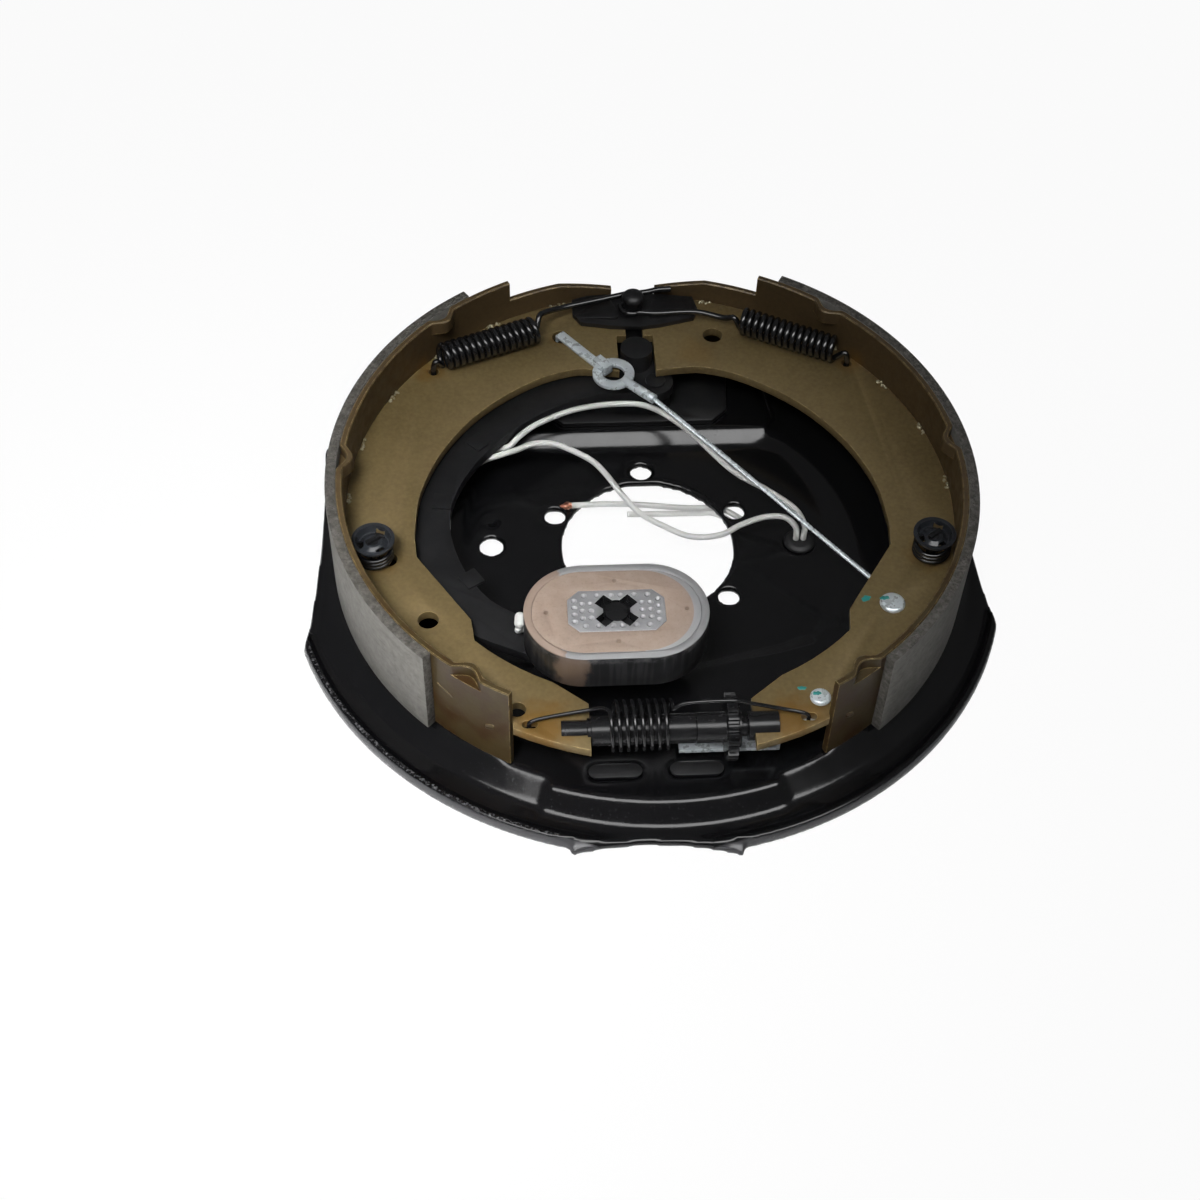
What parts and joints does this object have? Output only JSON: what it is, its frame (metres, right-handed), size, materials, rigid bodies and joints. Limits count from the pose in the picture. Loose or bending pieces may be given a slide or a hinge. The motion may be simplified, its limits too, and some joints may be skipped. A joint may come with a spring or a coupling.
{
  "type": "electric drum trailer brake assembly",
  "caption": "Self-adjusting electric drum trailer brake lying on its back: dished backing plate, two shoes, magnet on its lever arm, star-wheel adjuster.",
  "frame": {"origin": "centre of the spindle hole on the back face of the hub of the backing plate", "axes": "+Z along the brake's axis to the open side, +Y to the anchor post, +X from the primary shoe to the secondary shoe"},
  "size_m": [0.3271, 0.3443, 0.0641],
  "materials": {
    "black_plate": "gloss black",
    "black_steel": "satin black",
    "bronze_shoe": "satin olive bronze",
    "lining": "matt moulded friction lining",
    "zinc": "bright zinc",
    "bright_steel": "ground steel",
    "potting": "matt tan resin",
    "copper": "bare copper wire",
    "white_lead": "matt white insulation",
    "black_rubber": "matt"
  },
  "bodies": {
    "plate": {"backing_plate": "black_plate", "anchor_stiffener": "black_steel", "anchor_post": "black_steel", "shoe_guide_plate": "black_steel", "lead_grommet": "black_rubber", "adjusting_slot_plugs": "black_rubber", "primary_return_spring": "black_steel", "primary_hold_down_pin": "bright_steel", "primary_hold_down_spring": "black_steel", "primary_hold_down_cup": "black_steel", "secondary_hold_down_pin": "bright_steel", "secondary_hold_down_spring": "black_steel", "secondary_hold_down_cup": "black_steel", "lever_pivot_stud": "black_steel", "magnet_lead_a": "white_lead", "magnet_lead_b": "white_lead", "tail_lead_a": "white_lead", "tail_lead_a_strands": "copper", "tail_lead_b": "white_lead"},
    "primary_shoe": {"primary_web": "bronze_shoe", "primary_table": "bronze_shoe", "primary_lining": "lining", "cable_strap": "zinc", "cable_eye": "zinc"},
    "secondary_shoe": {"secondary_web": "bronze_shoe", "secondary_table": "bronze_shoe", "secondary_lining": "lining", "secondary_return_spring": "black_steel", "adjuster_socket": "black_steel", "thrust_washer": "bright_steel", "adjuster_spring": "black_steel", "adjuster_cable": "zinc", "cable_guide": "black_steel", "cable_guide_rivet": "zinc", "pawl_rivet": "zinc"},
    "adjuster_nut": {"adjuster_nut": "black_steel"},
    "adjuster_screw": {"star_wheel_screw": "black_steel"},
    "adjuster_lever": {"pawl_lever": "zinc"},
    "lever_arm": {"lever_arm": "black_steel", "magnet_retaining_clip": "black_steel", "magnet_spring": "zinc"},
    "magnet": {"magnet_case": "bright_steel", "magnet_coil": "copper", "magnet_potting": "potting", "magnet_core_plate": "bright_steel", "magnet_lead_boot": "white_lead"}
  },
  "joints": [
    {"name": "lever_swing", "type": "hinge", "parent": "plate", "child": "lever_arm", "pos_m": [0.009, 0.087, 0], "axis": [0, 0, 1], "range_deg": [0, 8], "deforming": ["magnet_lead_a", "magnet_lead_b"]},
    {"name": "secondary_pivot", "type": "hinge", "parent": "plate", "child": "secondary_shoe", "pos_m": [0, 0.131, 0], "axis": [0, 0, 1], "range_deg": [0, 0.3], "deforming": ["secondary_return_spring"]},
    {"name": "star_wheel_turn", "type": "hinge", "parent": "secondary_shoe", "child": "adjuster_screw", "pos_m": [0, -0.1305, 0.0337], "axis": [1, 0, 0], "range_deg": [0, 1080]},
    {"name": "adjuster_extend", "type": "slide", "parent": "secondary_shoe", "child": "adjuster_nut", "axis": [-1, 0, 0], "range_m": [0, 0.00381], "deforming": ["adjuster_spring"]},
    {"name": "primary_pivot", "type": "hinge", "parent": "adjuster_nut", "child": "primary_shoe", "pos_m": [-0.042, -0.1305, 0], "axis": [0, 0, 1], "range_deg": [0, 0.6], "deforming": ["primary_return_spring", "adjuster_cable"]},
    {"name": "magnet_travel", "type": "slide", "parent": "lever_arm", "child": "magnet", "axis": [0, 0, 1], "range_m": [-0.004, 0], "deforming": ["magnet_spring"]},
    {"name": "pawl_swing", "type": "hinge", "parent": "secondary_shoe", "child": "adjuster_lever", "pos_m": [0.0657, -0.1186, 0], "axis": [0, 0, 1], "range_deg": [0, 4]}
  ],
  "couplings": [
    {"joint": "secondary_pivot", "follows": "lever_swing", "ratio": 0.0375},
    {"joint": "star_wheel_turn", "follows": "adjuster_extend", "rad_per_m": 4947.4},
    {"joint": "primary_pivot", "follows": "lever_swing", "ratio": 0.075}
  ]
}
